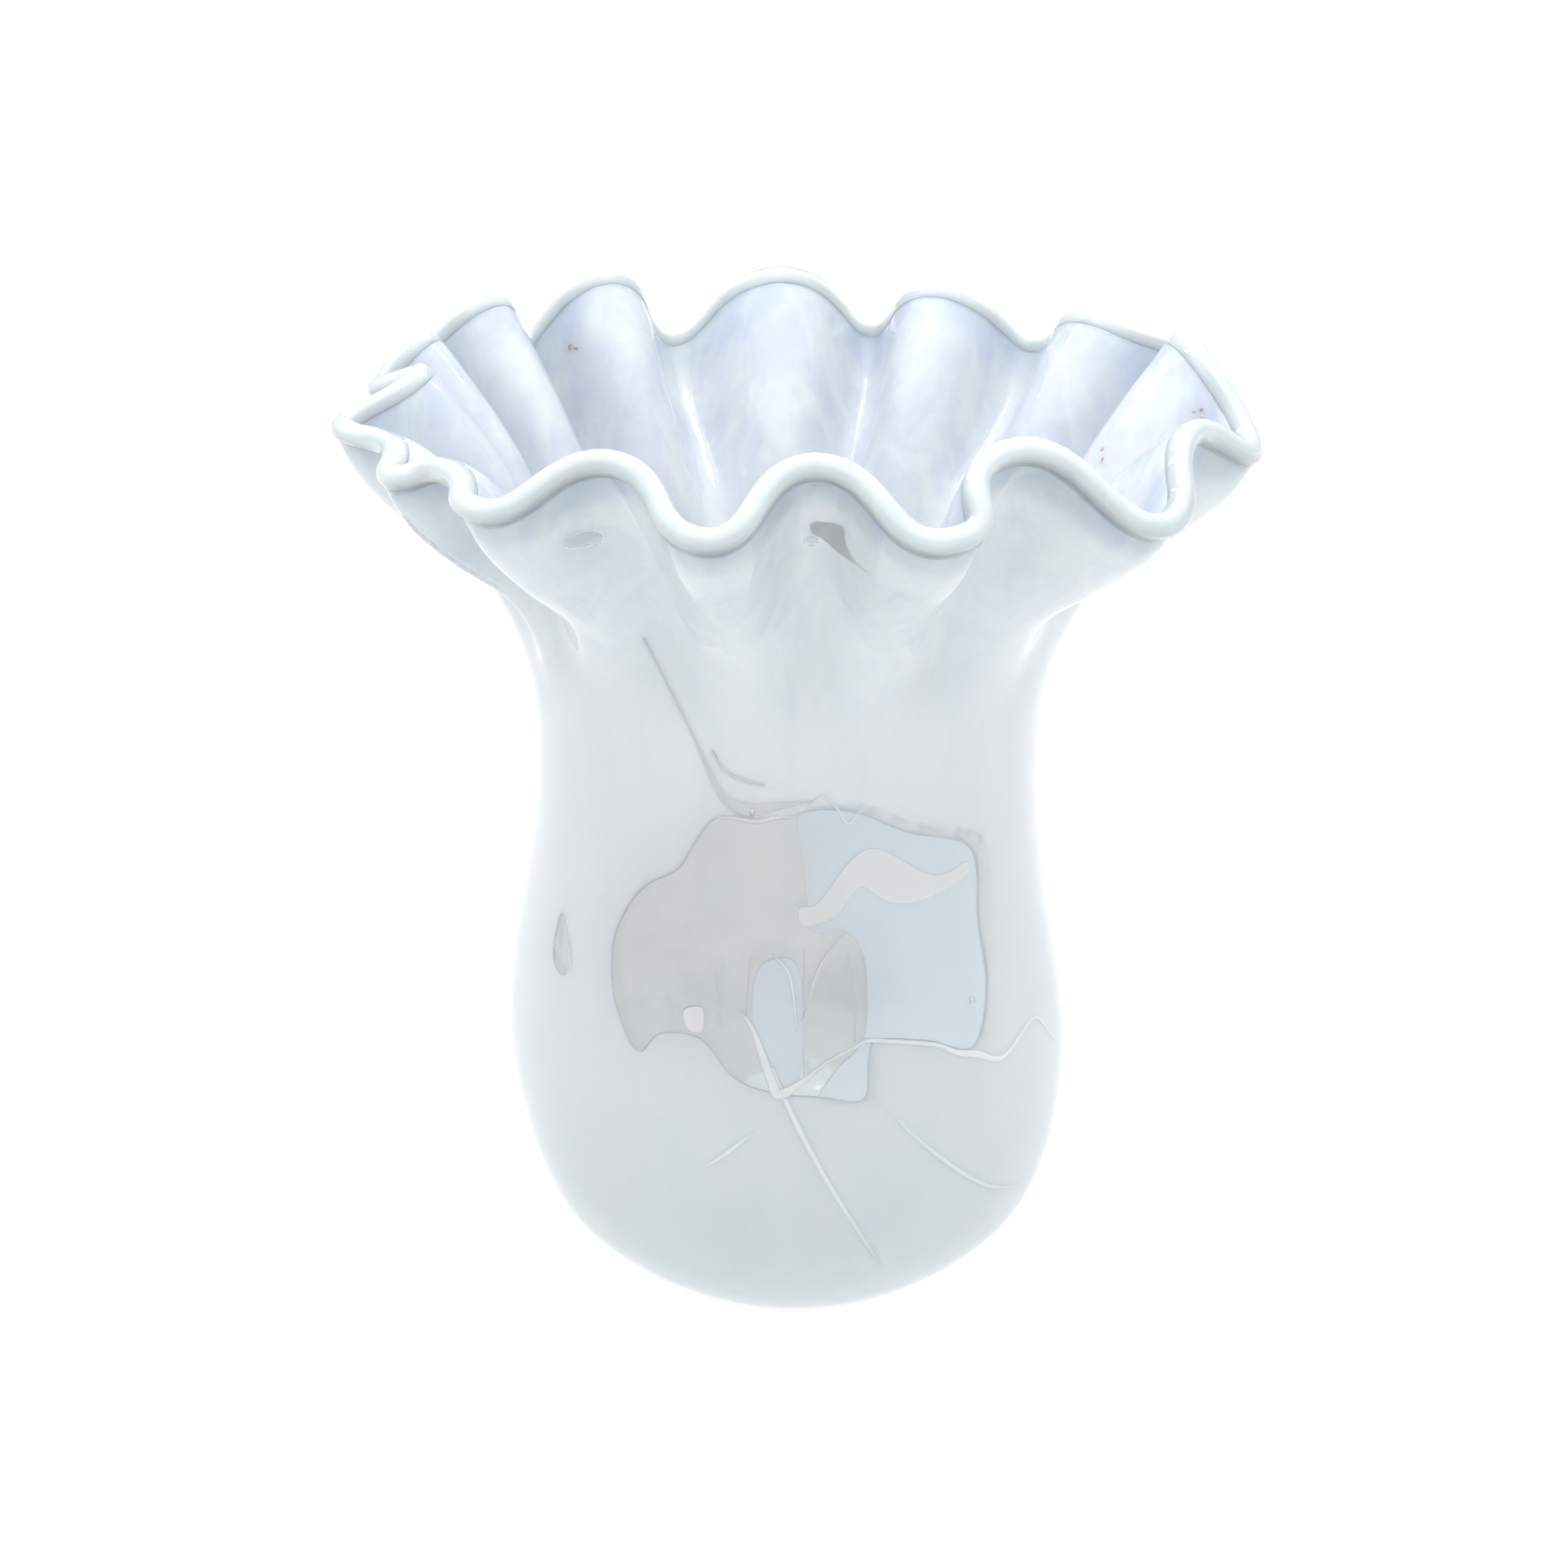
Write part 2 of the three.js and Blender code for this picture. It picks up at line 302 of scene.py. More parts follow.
def carry(tree, value, start, end, smooth=False):
    """A value carried from the range start to the range end."""
    keys = ("From Min", "From Max", "To Min", "To Max")
    node = add_node(tree, "MapRange", dict(zip(keys, (*start, *end))), {"Value": value})
    node.interpolation_type = "SMOOTHSTEP" if smooth else "LINEAR"
    return node.outputs["Result"]


def ramp(tree, value, stops):
    """A colour that changes with the value, through (share, colour) stops."""
    node = add_node(tree, "ValToRGB", {}, {"Fac": value})
    while len(node.color_ramp.elements) < len(stops):
        node.color_ramp.elements.new(1)
    for stop, (share, colour) in zip(node.color_ramp.elements, stops):
        stop.position = share
        stop.color = (*colour, 1)
    return node.outputs["Color"]


def bump(tree, height, strength, distance):
    values = {"Strength": strength, "Distance": distance}
    return add_node(tree, "Bump", values, {"Height": height}).outputs["Normal"]


def height_of(tree, place):
    return add_node(tree, "SeparateXYZ", {}, {"Vector": place}).outputs["Z"]


def mouth_blend(tree, place, most, below, above):
    """A colour that goes from below to most of above between the neck and the lip."""
    rise = carry(tree, height_of(tree, place), MOUTH_RISE, (0, most), smooth=True)
    blend = tree.nodes.new("ShaderNodeMix")
    blend.data_type = "RGBA"
    fill(tree, blend, {}, {"Factor": rise, "A": below, "B": above})
    return blend.outputs["Result"]


def clear_glass(name, tints, mouth_tints_and_glints, drawn, waviness):
    """Clear furnace glass, clouded between two tints, and between two other tints at the mouth, in
    patches drawn up the wall; drawn is their scale along it to that across. In the gather, the
    clear patches among the lavender at the mouth are painted glints. waviness is the depth of the
    bump, metres."""
    material, tree, shader = new_material(name)
    place = object_place(tree)
    cloud_and_glint_patches = noise(tree, drawn_up(tree, place, drawn), Scale=75, Detail=5, Distortion=0.8)
    below, above = (
        ramp(tree, cloud_and_glint_patches, list(zip(CLOUD_AND_GLINT_EDGES, pair))) for pair in (tints, mouth_tints_and_glints)
    )
    waves = noise(tree, place, Scale=60, Detail=2)
    fill(tree, shader, {"Transmission Weight": 1, "IOR": 1.5}, {
        "Base Color": mouth_blend(tree, place, 1, below, above),
        "Normal": bump(tree, waves, 1, waviness),
        "Roughness": carry(tree, waves, (0, 1), (0, 0.08)),
    })
    return material


def opal_glass(name, tones, reach, stain_and_glint_share=0.45):
    """Milk glass, streaky up the wall. tones go from foot to mouth, as (share of the height,
    colour); reach is how far light wanders in the glass, metres; the last argument is how much of
    the mouth's patches shows, a lavender stain with whitish painted glints among it."""
    material, tree, shader = new_material(name)
    place = object_place(tree)
    streaks = noise(tree, drawn_up(tree, place, 0.1), Scale=60, Detail=6, Roughness=0.6)
    height = carry(tree, height_of(tree, place), (0, 0.22), (0, 1))
    wander = add_node(tree, "Math", {}, {0: height, 1: carry(tree, streaks, (0, 1), (-0.2, 0.2))})
    tone = ramp(tree, wander.outputs["Value"], tones)
    # Patches at the mouth: a lavender stain with whitish painted glints among it.
    stain_and_glint_place = drawn_up(tree, place, 0.45)
    patches = noise(tree, stain_and_glint_place, Scale=90, Detail=6, Roughness=0.65, Distortion=1.2)
    stain_and_glints = ramp(tree, patches, list(zip(STAIN_AND_GLINT_EDGES, (MOUTH_STAIN, MOUTH_PAINTED_GLINT))))
    values = {
        "Subsurface Weight": 1,
        "Subsurface Radius": (1.15, 1.05, 0.95),
        "Subsurface Scale": reach,
        "Specular IOR Level": 0.2,
    }
    fill(tree, shader, values, {
        "Base Color": mouth_blend(tree, place, stain_and_glint_share, tone, stain_and_glints),
        "Roughness": carry(tree, streaks, (0, 1), (0.3, 0.5)),
        "Normal": bump(tree, streaks, 0.1, 0.0005),
    })
    return material


def burnt_specks(name):
    """Tan ash caught in the glass at the lip, blotchy."""
    material, tree, shader = new_material(name)
    blotches = noise(tree, object_place(tree), Scale=900)
    tone = ramp(tree, blotches, [(0.35, (0.42, 0.3, 0.24)), (0.65, (0.8, 0.72, 0.66))])
    gloss = carry(tree, blotches, (0, 1), (0.4, 0.8))
    fill(tree, shader, {}, {"Base Color": tone, "Roughness": gloss})
    return material


CASING_TINTS = [(0.975, 0.983, 0.995), (1.0, 1.0, 0.995)]
CASING_MOUTH = [(0.915, 0.95, 0.955), (0.945, 0.97, 0.965)]
GATHER_TINTS = [(0.992, 0.988, 0.985), (1.0, 1.0, 1.0)]
# At the gather's mouth: a lavender tint, and clear patches among it that are painted glints.
GATHER_MOUTH_TINT_AND_GLINTS = [(0.865, 0.88, 0.96), (1.0, 1.0, 1.0)]
LIP_TINTS = [(0.93, 0.95, 0.95), (0.97, 0.98, 0.98)]
OPAL_TONES = [
    (0, (0.78, 0.905, 0.95)), (0.25, (0.89, 0.96, 0.998)), (0.6, (0.87, 0.927, 0.97)),
    (0.85, (0.76, 0.83, 0.885)),
]
FILM_TONES = [(0, (0.765, 0.825, 0.868)), (1, (0.8, 0.845, 0.88))]
STRAND_TONES = [(0, (0.91, 0.975, 0.998)), (1, (0.93, 0.985, 1.0))]
# Painted shade: the opal in the lip is a darker, greyer copy of the body's opal.
LIP_SHADE_TONES = [(0.7, (0.6, 0.655, 0.68)), (1, (0.68, 0.73, 0.745))]
# Painted shadow: greys of the dark sheet under the front crimp.
FOLD_SHADOW_TONES = [(0, (0.5, 0.48, 0.47)), (1, (0.74, 0.72, 0.7))]

CASING = clear_glass("casing_glass", CASING_TINTS, CASING_MOUTH, 0.08, 0.00005)
GATHER = clear_glass("gather_glass", GATHER_TINTS, GATHER_MOUTH_TINT_AND_GLINTS, 0.45, 0.002)
LIP = clear_glass("lip_glass", LIP_TINTS, LIP_TINTS, 1, 0.00005)
GROUND = clear_glass("ground_glass", LIP_TINTS, LIP_TINTS, 1, 0.0008)
OPAL = opal_glass("opal_glass", OPAL_TONES, 0.003)
LIP_SHADED_OPAL = opal_glass("lip_shaded_opal_glass", LIP_SHADE_TONES, 0.003, 0.2)
FILM_OPAL = opal_glass("film_opal_glass", FILM_TONES, 0.0004)
STRAND_OPAL = opal_glass("strand_opal_glass", STRAND_TONES, 0.0004)
FOLD_SHADOW_SHEET = opal_glass("fold_painted_shadow_glass", FOLD_SHADOW_TONES, 0.0002)
SPECK = burnt_specks("lip_specks")


# ---- the pieces ---------------------------------------------------------------------

OPAL_MIDDLE = (OPAL_OUTER + OPAL_INNER) / 2
FOOT_EDGE = 0.2  # bevel between the recess and the resting ring
FOOT_RINGS = (20, 27)  # radii of rings on the flat resting ring
THUMB_POINTS = 21
# Where, in u, the opal fills out to the skins of the wall.
WIDENING = (RIM - 0.9, RIM - 0.1)
# The lip's outer side swells from the wall: shares of its reach across and up.
SWELL_IN = ((0.03, 0.1), (0.2, 0.35), (0.6, 0.65), (0.93, 0.9))
# The lip's thickness wavers round the vase: amount, waves, phase.
WAVER = ((0.05, 5, 1), (0.04, 11, 0))


def outer_casing():
    base = flat_rings([
        (PONTIL_RADIUS, PONTIL_RECESS), (PONTIL_RADIUS, FOOT_EDGE),
        (PONTIL_RADIUS + FOOT_EDGE, 0), *((radius, 0) for radius in FOOT_RINGS),
    ])
    inside = wall_rings(OPAL_MIDDLE + FUSE)[::-1]
    wall = ring_mesh("wall", np.concatenate([base, wall_rings(0.0), inside]), CASING)
    bubbles = [bead(*bubble, CASING, hollow=True) for bubble in BUBBLES]
    hand_in(merge("vase_outer_casing", [wall, *bubbles]), "outer_casing")


def inner_gather():
    rings = np.concatenate([wall_rings(OPAL_MIDDLE - FUSE), wall_rings(BORE)[::-1]])
    hand_in(ring_mesh("vase_inner_gather", rings, GATHER), "inner_gather")


def thumb(out, back, high):
    """Half-ellipses over the wall, (across, along) from the outside to the inside."""
    return [
        ((out if angle < np.pi / 2 else back) * np.cos(angle), LIP_SHOULDER + high * np.sin(angle))
        for angle in np.linspace(0, np.pi, THUMB_POINTS)
    ]


def along_lip(section, swell=1):
    """Rings of a lip section: across the wall from its middle, and on up from the rim."""
    up, out = directions(PLACES, RIM)
    middle = layer_point(PLACES, RIM, BORE / 2)
    return np.array([
        middle + out * across + up * (along * (swell if along > 0 else 1) + 0 * PLACES)[:, None]
        for across, along in section
    ])


def opal_shell(name, start=OPAL_OUTER, end=OPAL_INNER, material=OPAL):
    """An opal sheet between two depths; at the mouth it fills the wall and the lip."""
    def widening(depth, full):
        return lambda u: depth + (full - depth) * smoothstep(u, *WIDENING)

    half = BORE / 2 - LIP_SKIN
    crown = LIP_HIGH - LIP_SHOULDER - CROWN_SKIN
    rings = np.concatenate([
        wall_rings(widening(start, LIP_SKIN)),
        along_lip(thumb(LIP_OUT - LIP_SKIN, half, crown)),
        wall_rings(widening(end, BORE - LIP_SKIN))[::-1],
    ])
    return ring_mesh(name, rings, material)


def lip_wrap():
    """A thumb-shaped section, fuller on the outside, taken round the lip."""
    turn = 2 * np.pi * PLACES / len(STATIONS)
    swell = 1 + sum(amount * np.sin(waves * turn + phase) for amount, waves, phase in WAVER)
    skirt = BORE / 2 + LIP_PROUD
    section = [(skirt, -LIP_SHOULDER * LIP_SKIRT)]
    section += [
        (skirt + (LIP_OUT - skirt) * share, LIP_SHOULDER * rise) for share, rise in SWELL_IN
    ]
    section += thumb(LIP_OUT, skirt, LIP_HIGH - LIP_SHOULDER)
    section += [(-skirt, LIP_SHOULDER / 2), (-skirt, -LIP_SKIRT), (0, -LIP_SKIRT)]
    rings = along_lip(section, swell)
    hand_in(ring_mesh("vase_lip_wrap", rings, LIP, (False, False)), "lip_wrap")


FRONT, TEAR_AZIMUTH = 270, 213.5  # degrees; the front faces -Y
OUTLINE_STEPS = 6  # points of a cutter's outline between two of the ones given
CUTTER_REACH = (30, 130)  # from inside the vase to well outside it
SHARP_ANGLE = 50  # degrees over which a cut edge stays sharp


def prism(name, outline, azimuth):
    """A cutter: a smooth closed outline (x, z) seen from an azimuth, drawn out along it."""
    outline = np.asarray(outline, float)
    count = len(outline)
    u = np.arange(0, count, 1 / OUTLINE_STEPS)
    looped = np.vstack([outline[-2:], outline, outline[:3]])
    points = spline(looped, u + 2)
    turn = np.radians(azimuth - FRONT)
    rings = []
    for away in CUTTER_REACH:
        x = points[:, 0] * np.cos(turn) + away * np.sin(turn)
        y = points[:, 0] * np.sin(turn) - away * np.cos(turn)
        rings.append(np.stack([x, y, points[:, 1]], -1) * MM)
    n = len(points)
    sides = [[i, (i + 1) % n, n + (i + 1) % n, n + i] for i in range(n)]
    faces = sides + [list(range(n))[::-1], list(range(n, 2 * n))]
    mesh = bpy.data.meshes.new(name)
    mesh.from_pydata(np.concatenate(rings).tolist(), [], faces)
    piece = bpy.data.objects.new(name, mesh)
    bpy.context.collection.objects.link(piece)
    tidy = bmesh.new()
    tidy.from_mesh(mesh)
    bmesh.ops.recalc_face_normals(tidy, faces=tidy.faces)
    bmesh.ops.triangulate(tidy, faces=tidy.faces)
    tidy.to_mesh(mesh)
    tidy.free()
    return piece


def carve(piece, cutter, operation):
    """Applies a boolean with the cutter to the piece's mesh."""
    change = piece.modifiers.new("carve", "BOOLEAN")
    change.operation = operation
    change.object = cutter
    change.solver = "MANIFOLD"
    bpy.context.view_layer.update()
    evaluated = piece.evaluated_get(bpy.context.evaluated_depsgraph_get())
    carved = bpy.data.meshes.new_from_object(evaluated)
    piece.modifiers.clear()
    piece.data = carved
    carved.name = piece.name
    carved.set_sharp_from_angle(angle=np.radians(SHARP_ANGLE))


# Outlines in the opal, seen from the front: sideways, height; a slit has its width too.
WINDOW = [
    (-16, 129), (-21, 123), (-25, 116), (-33, 110), (-39, 98), (-39, 84), (-34, 74),
    (-29, 79), (-20, 79), (-13, 71), (-4, 68), (6, 67), (15, 66), (16, 75), (18, 79), (29, 77),
    (39, 73), (42, 85), (40, 100), (38, 117), (24, 124), (13, 130), (4, 131), (-4, 129),
]
# Painted shade: the film's tongue at its foot, from (18, 78) down to (17, 65) and (5, 65) and up to
# (15, 80), covers the bare window where the lit floor of the gather shows bright.
FILM_AND_SHADE_TONGUE = [
    (1, 131), (13, 132), (25, 126), (40, 119), (42, 102), (43, 85), (40, 71), (30, 75), (18, 78),
    (17, 65), (5, 65), (9, 73), (15, 80), (15, 97), (10, 104), (4, 104), (2, 118),
]
WISP = [(-9, 84), (-8, 95), (-3, 98), (1, 95), (2, 80), (0, 69), (-6, 71)]
RIBBON = [
    (1, 109), (5, 110), (12, 119), (18, 121), (30, 113), (37, 114), (37, 111), (27, 108),
    (20, 109), (14, 113), (9, 107), (2, 105),
]
CHIP = [(-24, 85), (-20, 86), (-20, 81), (-23, 81)]
TEAR = [(-2, 99), (2, 93), (4, 88), (1, 85), (-3, 87), (-4, 92)]
# Painted shadow: a dark wedge of sheet under the front crimp, where its shadow falls.
FOLD_SHADOW = [
    (3.5, 200), (10, 200), (11, 196), (13, 192), (16, 190.5), (10, 193), (6, 196), (3.5, 197.5),
]
LONG_SLIT = [
    (-31, 167, 0.15), (-22, 149, 0.4), (-16, 135, 1.2), (-13, 132, 2.4), (-9, 131, 2.7),
    (-4, 132, 1.6), (3, 133, 0.2),
]
SHORT_SLIT = [(-17, 144, 0.1), (-15, 140, 0.6), (-11, 138, 0.7), (-7, 137, 0.1)]

# Strands of opal, seen from the front: sideways, height, width. Six of them are painted
# reflections, marked below.
TRAILS_AND_GLINT_LINES = [
    [  # the rolled lower edge of the window, and the strand it runs out into
        (-12, 86, 0.4), (-9, 82, 1.2), (-5, 71, 2.2), (-3, 68, 2.4), (2, 71, 1.2), (7, 75, 0.7),
        (13, 78, 0.7), (17, 79, 0.9), (30, 76, 0.9), (35, 73, 1.3), (40, 71, 1.6), (46, 68, 1.2),
        (53, 73, 0.8), (57, 67, 0.7), (60, 60, 0.4),
    ],
    [(-5, 74, 0.8), (0, 62, 1.2), (7, 47, 1.1), (14, 33, 0.9), (19, 22, 0.4)],
    [(20, 63, 0.3), (32, 49, 1), (43, 37, 0.9), (52, 31, 0.4)],
    [(-9, 59, 0.3), (-14, 54, 1), (-20, 49, 0.4)],
    [(-16, 129, 0.5), (-12, 129, 0.9), (-8, 128.5, 1), (-4, 129.5, 0.9), (0, 129.5, 0.5)],
    # Painted reflections: these six, the arch and the thin upright lines in the window, are white
    # strands drawn where refracted and reflected light shows as lines.
    [(1, 84, 0.3), (3, 88, 0.5), (5, 95, 0.7), (9, 101, 0.6), (11, 103, 0.3)],
    [(11, 99, 0.2), (13, 92, 0.45), (13, 79, 0.2)],
    [(-17, 95, 0.15), (-16.5, 88, 0.5), (-16, 82, 0.2)],
    [(-9, 100, 0.1), (-10, 92, 0.3), (-10.5, 85, 0.1)],
    [(2, 100, 0.1), (2, 87, 0.3), (2, 72, 0.1)],
    [(-5, 99, 0.3), (-1, 94, 0.8), (0.5, 82, 0.3)],
    [(3, 132, 0.2), (5.5, 134.5, 0.5), (8.5, 132, 0.6), (11.5, 127.5, 0.5), (14.5, 132, 0.2)],
]
TRAIL_STEPS = 8  # points of a strand between two of its stations
TRAIL_ROUND, TRAIL_GAP = 0.35, 0.03  # thickness to width, and how far off the sheet it lies
TRAIL_SIDES = 10
IN_FRONT = 200  # mm, well clear of the vase
BEAD_SIDES, BEAD_RINGS, BEAD_TILT = 16, 11, 1.45  # the last rings are at this tilt, radians

# Hollow air bubbles: place, u, depth; half sizes around the wall, up it and through it.
BUBBLES = [
    (19.6, 14.75, 1.15, 5.2, 2.4, 1.0),
    (22, 14.5, 1.1, 1.8, 1.5, 0.7),
    (24.6, 7.2, 1.2, 0.7, 1.0, 0.5),
    (21.2, 9.6, 1.2, 0.5, 0.9, 0.4),
]
# Ash caught in the glass at the lip: place, u and depth of each cluster, and its specks.
SPECK_CLUSTERS = [
    (27.5, 15.5, 4.4, 10), (27.5, 14.8, 4.2, 3), (27.8, 14.2, 4.2, 2), (26, 15.1, 4.2, 1),
    (24.1, 15.8, 1.2, 2), (12.4, 15.2, 4.2, 3), (11, 15.3, 4.2, 1), (8.4, 15.4, 4.3, 2),
]
SPECK_SEED, SPECK_SPREAD = 5, 0.08  # the spread is in places and in u
SPECK_SIZES, SPECK_THICK = (0.25, 0.9), 0.2  # half sizes, mm


def strip(track):
    """Outline of a tapering strip, from sideways, height and width along its middle."""
    track = np.asarray(track, float)
    middle, width = track[:, :2], track[:, 2:]
    along = unit(np.gradient(middle, axis=0))
    across = np.stack([-along[:, 1], along[:, 0]], -1) * width / 2
    return np.concatenate([middle + across, (middle - across)[::-1]])


def merge(name, parts):
    """One piece made of several."""
    whole = bmesh.new()
    for part in parts:
        whole.from_mesh(part.data)
    material = parts[0].data.materials[0]
    for part in parts:
        bpy.data.objects.remove(part)
    mesh = bpy.data.meshes.new(name)
    whole.to_mesh(mesh)
    whole.free()
    mesh.materials.append(material)
    piece = bpy.data.objects.new(name, mesh)
    bpy.context.collection.objects.link(piece)
    return piece


def trail(sheet, track):
    """A strand of opal lying on the sheet: a flat tube of varying width."""
    u = np.arange(0, (len(track) - 1) * TRAIL_STEPS + 1) / TRAIL_STEPS
    course = spline(track, u)
    middle, out = [], []
    for x, z, _ in course:
        _, spot, normal, _ = sheet.ray_cast(Vector((x, -IN_FRONT, z)) * MM, Vector((0, 1, 0)))
        middle.append(spot / MM)
        out.append(normal)
    middle, out = np.array(middle), np.array(out)
    across = np.cross(out, unit(np.gradient(middle, axis=0)))
    width = course[:, 2:]
    rings = []
    for turn in np.linspace(0, 2 * np.pi, TRAIL_SIDES, endpoint=False):
        lift = TRAIL_GAP + (1 + np.sin(turn)) * width / 2 * TRAIL_ROUND
        rings.append(middle + across * np.cos(turn) * width / 2 + out * lift)
    return ring_mesh("trail", np.array(rings).transpose(1, 0, 2), STRAND_OPAL)


def bead(place, u, depth, around, tall, thick, material, hollow=False):
    """An ellipsoid lying in the wall; a hollow one faces inwards."""
    _, out = directions(place, u)
    level = unit(np.cross((0, 0, 1), out))
    up = np.cross(out, level)
    axis = level * around * (1 if hollow else -1)
    centre = layer_point(place, u, depth)
    turn = np.linspace(0, 2 * np.pi, BEAD_SIDES, endpoint=False)[:, None]
    rings = [
        centre + axis * np.sin(tilt)
        + (out * thick * np.cos(turn) + up * tall * np.sin(turn)) * np.cos(tilt)
        for tilt in np.linspace(-BEAD_TILT, BEAD_TILT, BEAD_RINGS)
    ]
    return ring_mesh("bead", rings, material)


def cut(piece, outline, azimuth, operation="DIFFERENCE"):
    cutter = prism("cutter", outline, azimuth)
    carve(piece, cutter, operation)
    bpy.data.objects.remove(cutter)


def paint_lip_shade(layer):
    """The part of the sheet inside the lip takes a darker, greyer copy of the opal: painted shade.
    """
    layer.data.materials.append(LIP_SHADED_OPAL)
    columns, wall = len(PLACES), len(WALL_ROWS)
    first, past = (wall - 1) * columns, (wall + len(thumb(1, 1, 1))) * columns
    for face in layer.data.polygons[first:past]:
        face.material_index = 1


def opal_pieces():
    layer = opal_shell("vase_opal_layer")
    paint_lip_shade(layer)
    for outline in (WINDOW, strip(LONG_SLIT), strip(SHORT_SLIT)):
        cut(layer, outline, FRONT)
    cut(layer, TEAR, TEAR_AZIMUTH)
    hand_in(layer, "opal_layer")
    for name, outline, start, end, material in (
        # the film's tongue at its foot is painted shade
        ("film", FILM_AND_SHADE_TONGUE, FILM_OUTER, OPAL_INNER, FILM_OPAL),
        ("wisp", WISP, FILM_OUTER, OPAL_INNER, FILM_OPAL),
        ("ribbon", RIBBON, RIBBON_OUTER, RIBBON_INNER, STRAND_OPAL),
        ("chip", CHIP, OPAL_OUTER, OPAL_INNER, STRAND_OPAL),
        # painted shadow: the dark sheet under the front crimp
        ("fold_shadow", FOLD_SHADOW, FOLD_SHADOW_OUTER, FOLD_SHADOW_INNER, FOLD_SHADOW_SHEET),
    ):
        shard = opal_shell("vase_opal_" + name, start, end, material)
        cut(shard, outline, FRONT, "INTERSECT")
        hand_in(shard, "opal_" + name if name != "fold_shadow" else None)
    sheet = opal_shell("sheet")
    bpy.context.view_layer.update()
    # Strands, six of them painted reflections.
    strands_and_glint_lines = [trail(sheet, track) for track in TRAILS_AND_GLINT_LINES]
    bpy.data.objects.remove(sheet)
    hand_in(merge("vase_opal_trails_and_glint_lines", strands_and_glint_lines))


PONTIL_BEVEL = 1, 0.3, 0.12  # how far its edge runs in, the turn of it, and its depth
PONTIL_SHARES = (0.2, 0.4, 0.6, 0.8)  # rings between the middle of each face and the edge


def pontil_seal():
    """Ground-off punty glass: a shallow rough lens in the recess of the base."""
    radius = PONTIL_RADIUS - PONTIL_GAP
    low, high = PONTIL_GAP, PONTIL_GAP + PONTIL_THICKNESS
    edge, turn, drop = PONTIL_BEVEL
    profile = [(radius - edge, low), (radius - turn, low + drop), (radius, (low + high) / 2)]
    profile += [(radius - turn, high - drop), (radius - edge, high)]
    inner = [(radius * share, low) for share in PONTIL_SHARES]
    outer = [(radius * share, high) for share in PONTIL_SHARES[::-1]]
    piece = ring_mesh("vase_pontil_seal", flat_rings(inner + profile + outer), GROUND)
    hand_in(piece, "pontil_seal")


def lip_specks():
    """Small clusters of specks, scattered the same way each time."""
    chance = np.random.default_rng(SPECK_SEED)
    specks = []
    for place, u, depth, count in SPECK_CLUSTERS:
        for _ in range(count):
            aside, above = chance.normal(0, SPECK_SPREAD, 2)
            around, tall = chance.uniform(*SPECK_SIZES, 2)
            row = min(u + above, RIM)
            specks.append(bead(place + aside, row, depth, around, tall, SPECK_THICK, SPECK))
    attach(merge("vase_lip_specks", specks), "root")


outer_casing()
inner_gather()
opal_pieces()
lip_wrap()
pontil_seal()
lip_specks()

# ---- floor, light and camera --------------------------------------------------------
FRONT_LIGHT, BACK_LIGHT, CEILING_LIGHT = 0.865, 0.7, 1.8
FLOOR_TONE, FLOOR_GLOW = 0.15, 0.88
FLOOR_SIZE = 6  # metres from the middle to an edge
AIM = (0, 0, 0.15)
# Area lights: place and size in metres, power in watts.
SOFTBOXES = [
    ("overhead", (-0.15, -0.1, 1.5), (0.5, 0.5), 9),
    ("strip_left", (-0.8, 0.6, 1.1), (0.06, 0.7), 4),
    ("strip_right", (0.7, 0.7, 1.2), (0.06, 0.7), 4),
]
SENSOR_WIDTH, LENS = 36, 83.4
EYE, LOOKING_DOWN = (-0.0023, -0.8, 0.3743), 17.7  # metres, degrees
# Nested glass needs long light paths.
BOUNCES = {
    "max_bounces": 24, "diffuse_bounces": 10, "glossy_bounces": 8, "transmission_bounces": 24,
}


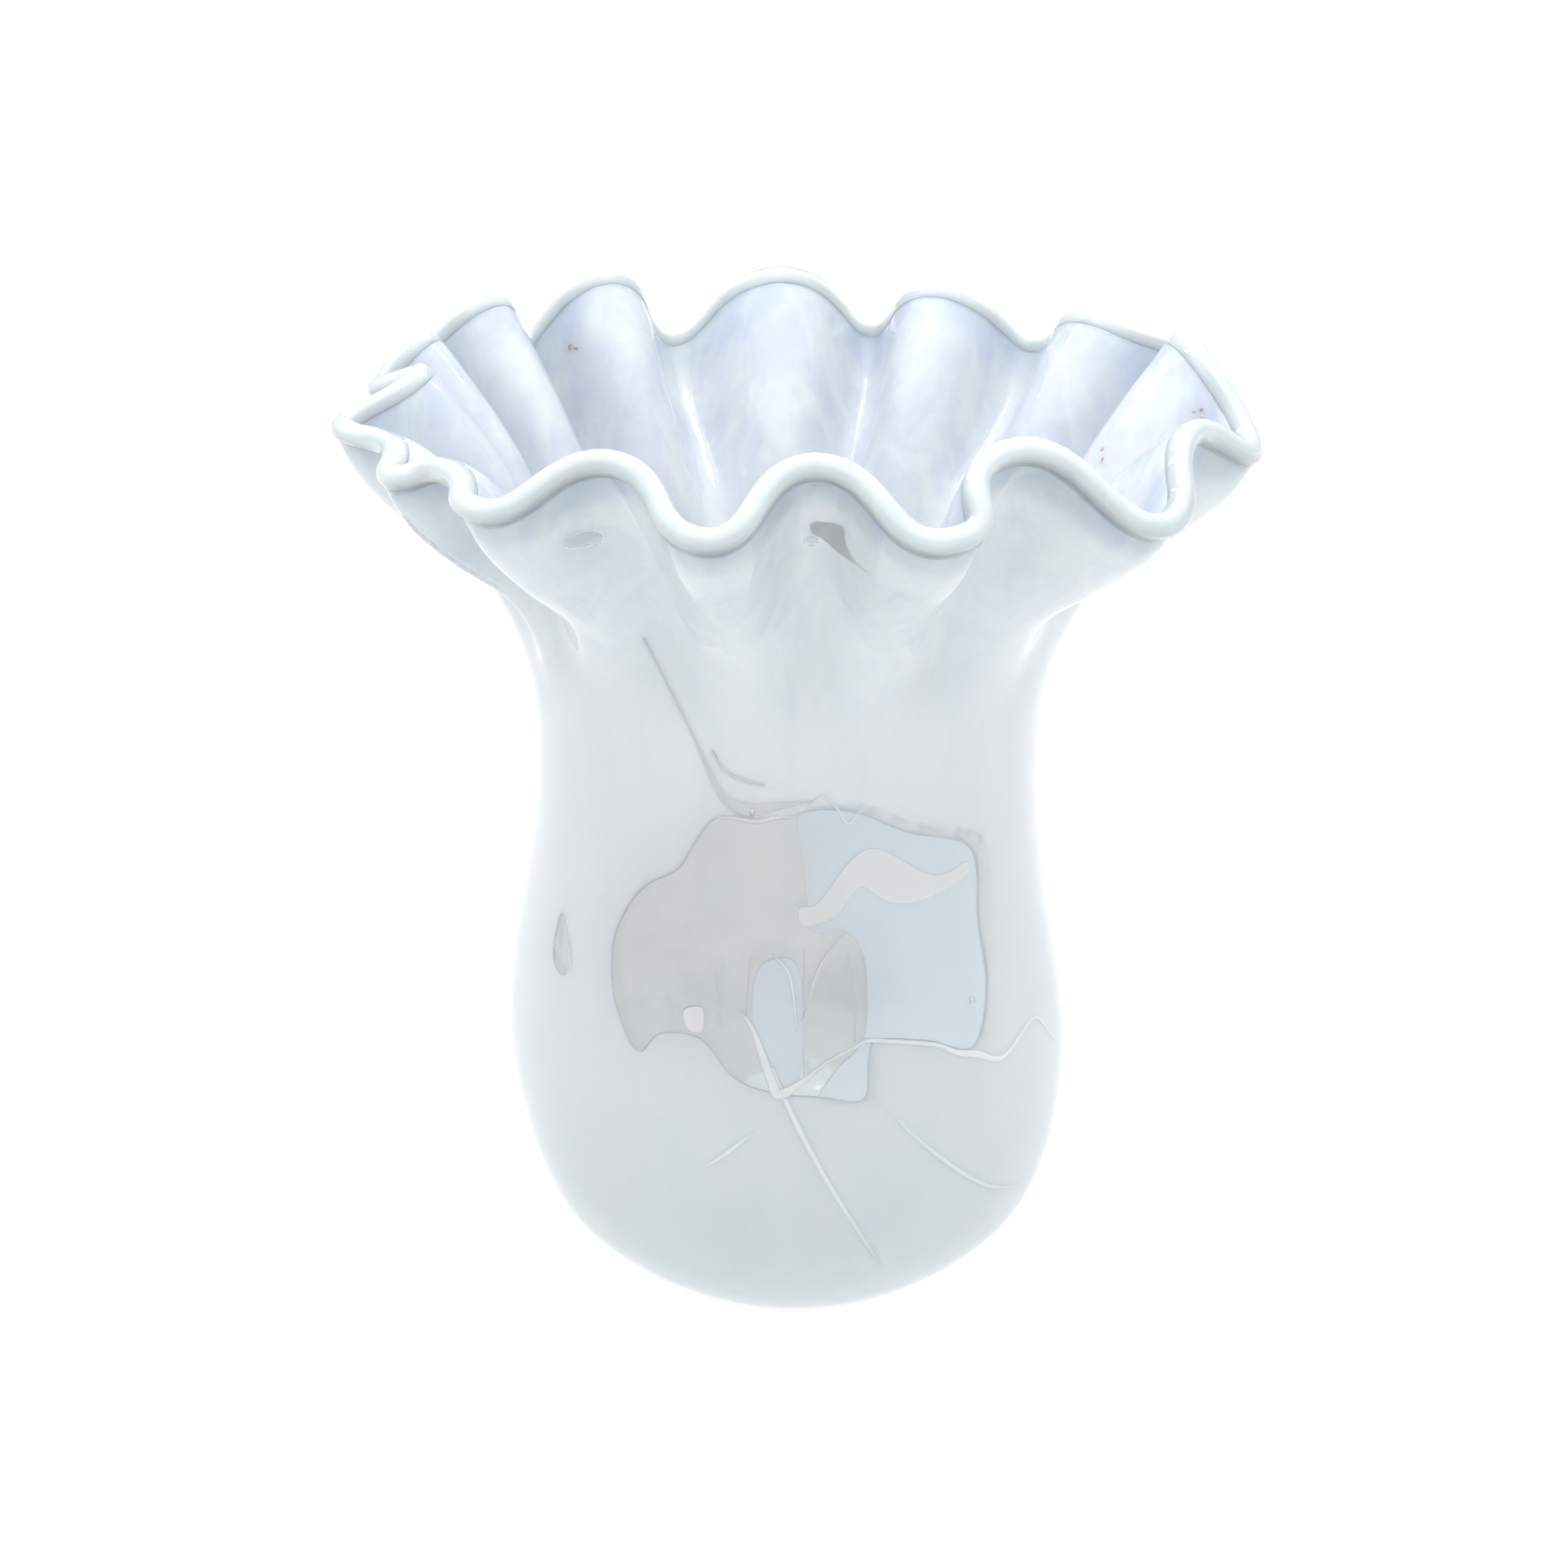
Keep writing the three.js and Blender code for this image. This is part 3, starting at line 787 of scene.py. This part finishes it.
def floor():
    mesh = bpy.data.meshes.new("floor")
    corners = [(x * FLOOR_SIZE, y * FLOOR_SIZE, 0) for x, y in ((-1, -1), (1, -1), (1, 1), (-1, 1))]
    mesh.from_pydata(corners, [], [(0, 1, 2, 3)])
    ground = bpy.data.objects.new("floor", mesh)
    bpy.context.collection.objects.link(ground)
    material, tree, shader = new_material("floor_paper")
    fill(tree, shader, {
        "Base Color": (FLOOR_TONE, FLOOR_TONE, FLOOR_TONE, 1),
        "Roughness": 0.9,
        "Emission Color": (1, 1, 1, 1),
        "Emission Strength": FLOOR_GLOW,
    }, {})
    mesh.materials.append(material)


def world():
    """A pale studio: brightest overhead, and dimmer behind the vase than in front of it."""
    sky = bpy.data.worlds.new("studio")
    bpy.context.scene.world = sky
    sky.use_nodes = True
    tree = sky.node_tree
    direction = add_node(tree, "TexCoord", {}, {}).outputs["Generated"]
    axes = add_node(tree, "SeparateXYZ", {}, {"Vector": direction}).outputs
    level = carry(tree, axes["Y"], (-0.5, 0.7), (FRONT_LIGHT, BACK_LIGHT), smooth=True)
    ceiling = carry(tree, axes["Z"], (0.2, 0.9), (0, CEILING_LIGHT), smooth=True)
    strength = add_node(tree, "Math", {}, {0: level, 1: ceiling}).outputs["Value"]
    fill(tree, tree.nodes["Background"], {"Color": (1, 1, 1, 1)}, {"Strength": strength})


def softbox(name, place, size, power):
    """An area light at place, metres, aimed at the middle of the vase."""
    data = bpy.data.lights.new(name, "AREA")
    data.shape = "RECTANGLE"
    data.size, data.size_y = size
    data.energy = power
    lamp = bpy.data.objects.new(name, data)
    bpy.context.collection.objects.link(lamp)
    lamp.location = place
    lamp.rotation_euler = (Vector(AIM) - Vector(place)).to_track_quat("-Z", "Y").to_euler()


def camera():
    data = bpy.data.cameras.new("camera")
    data.sensor_width = SENSOR_WIDTH
    data.lens = LENS
    eye = bpy.data.objects.new("camera", data)
    bpy.context.collection.objects.link(eye)
    eye.location = EYE
    eye.rotation_euler = (np.radians(90 - LOOKING_DOWN), 0, 0)
    bpy.context.scene.camera = eye


floor()
world()
for row in SOFTBOXES:
    softbox(*row)
camera()
bpy.context.scene.view_settings.view_transform = "Standard"
for kind, count in BOUNCES.items():
    setattr(bpy.context.scene.cycles, kind, count)
